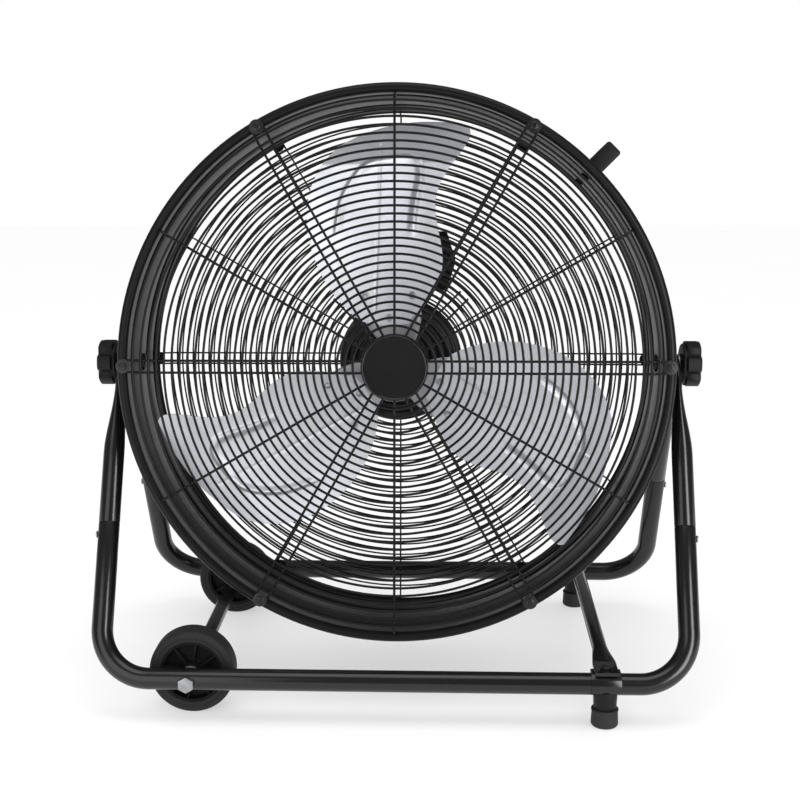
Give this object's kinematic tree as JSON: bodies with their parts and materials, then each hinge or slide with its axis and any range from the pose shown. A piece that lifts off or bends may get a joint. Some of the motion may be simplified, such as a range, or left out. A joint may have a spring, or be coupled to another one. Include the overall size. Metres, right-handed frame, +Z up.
{
  "type": "drum fan",
  "caption": "Floor-standing drum fan: a tilting drum with wire grilles and a bladed rotor, hung in a wheeled stand of bent tube and locked by hand knobs.",
  "frame": {"origin": "on the floor, under the middle of the stand, midway between the legs and between the floor bars", "axes": "+Z up; the fan blows towards -Y; +X to the right seen from the front, along the tilt axis"},
  "size_m": [0.7404, 0.4178, 0.7256],
  "materials": {
    "stand_paint": "satin black powder coat",
    "drum_paint": "satin black powder coat",
    "grille_paint": "gloss black dipped coat",
    "cap_plastic": "gloss black moulded plastic",
    "motor_paint": "matt black paint",
    "spider_metal": "cast, satin",
    "blade_aluminium": "pressed sheet, satin",
    "rivet_aluminium": "bright",
    "zinc_steel": "bright zinc plate",
    "black_steel": "black oxide",
    "shaft_steel": "ground",
    "core_steel": "stacked sheet",
    "copper": "lacquered copper wire",
    "knob_plastic": "fine grain black",
    "brass_insert": "turned",
    "handle_plastic": "fine grain black",
    "switch_plastic": "fine grain black",
    "wheel_plastic": "dark grey moulding",
    "tyre_rubber": "matt solid rubber",
    "foot_rubber": "matt",
    "foot_plastic": "satin black"
  },
  "bodies": {
    "stand": {"front_floor_frame": "stand_paint", "rear_floor_frame": "stand_paint", "left_side_arch": "stand_paint", "right_side_arch": "stand_paint", "leg_screws": "zinc_steel", "axle_tube": "stand_paint", "axle_nuts": "zinc_steel", "axle_washers": "zinc_steel", "front_axle_bolt": "zinc_steel", "rear_axle_bolt": "zinc_steel", "cross_bar": "stand_paint", "foot_saddles": "stand_paint", "foot_posts": "foot_plastic", "foot_caps": "foot_rubber", "foot_bolts": "zinc_steel"},
    "drum": {"drum_shell": "drum_paint", "pivot_brackets": "drum_paint", "pivot_bolts": "black_steel", "pivot_spacers": "black_steel", "pivot_washers": "black_steel", "front_grille": "grille_paint", "rear_grille": "grille_paint", "front_grille_screws": "black_steel", "rear_grille_screws": "black_steel", "front_cap": "cap_plastic", "front_cap_plate": "motor_paint", "front_cap_screw": "zinc_steel", "motor_front_shell": "motor_paint", "motor_rear_shell": "motor_paint", "stator": "core_steel", "windings": "copper", "bearings": "shaft_steel", "motor_plate": "motor_paint", "rear_clamp_plate": "motor_paint", "motor_screws": "zinc_steel", "switch_box": "switch_plastic", "switch_box_screws": "black_steel", "speed_switch": "switch_plastic", "capacitor": "switch_plastic", "cable_gland": "switch_plastic", "handle": "handle_plastic", "handle_screws": "black_steel"},
    "fan_rotor": {"blade_1": "blade_aluminium", "blade_2": "blade_aluminium", "blade_3": "blade_aluminium", "spider_hub": "spider_metal", "blade_rivets": "rivet_aluminium", "motor_shaft": "shaft_steel", "hub_nut": "zinc_steel", "rotor_core": "core_steel"},
    "left_tilt_knob": {"left_knob": "knob_plastic", "left_knob_insert": "brass_insert"},
    "right_tilt_knob": {"right_knob": "knob_plastic", "right_knob_insert": "brass_insert"},
    "speed_knob": {"switch_knob": "knob_plastic", "switch_spindle": "brass_insert"},
    "front_wheel_set": {"front_wheel": "wheel_plastic", "front_tyre": "tyre_rubber"},
    "rear_wheel_set": {"rear_wheel": "wheel_plastic", "rear_tyre": "tyre_rubber"}
  },
  "joints": [
    {"name": "drum_tilt", "type": "hinge", "parent": "stand", "child": "drum", "pos_m": [0, 0, 0.388], "axis": [-1, 0, 0], "range_deg": [-97.5, 82.5]},
    {"name": "fan_spin", "type": "hinge", "parent": "drum", "child": "fan_rotor", "pos_m": [0, 0, 0.388], "axis": [0, -0.9914, 0.1305], "continuous": true},
    {"name": "left_knob_turn", "type": "hinge", "parent": "drum", "child": "left_tilt_knob", "pos_m": [-0.358, 0, 0.388], "axis": [-1, 0, 0], "continuous": true},
    {"name": "right_knob_turn", "type": "hinge", "parent": "drum", "child": "right_tilt_knob", "pos_m": [0.358, 0, 0.388], "axis": [1, 0, 0], "continuous": true},
    {"name": "speed_knob_turn", "type": "hinge", "parent": "drum", "child": "speed_knob", "pos_m": [0.015, 0.16047, 0.49598], "axis": [0, 0.9914, -0.1305], "range_deg": [0, 135]},
    {"name": "front_wheel_spin", "type": "hinge", "parent": "stand", "child": "front_wheel_set", "pos_m": [-0.237, -0.159, 0.05], "axis": [0, 1, 0], "continuous": true},
    {"name": "rear_wheel_spin", "type": "hinge", "parent": "stand", "child": "rear_wheel_set", "pos_m": [-0.237, 0.159, 0.05], "axis": [0, 1, 0], "continuous": true}
  ]
}
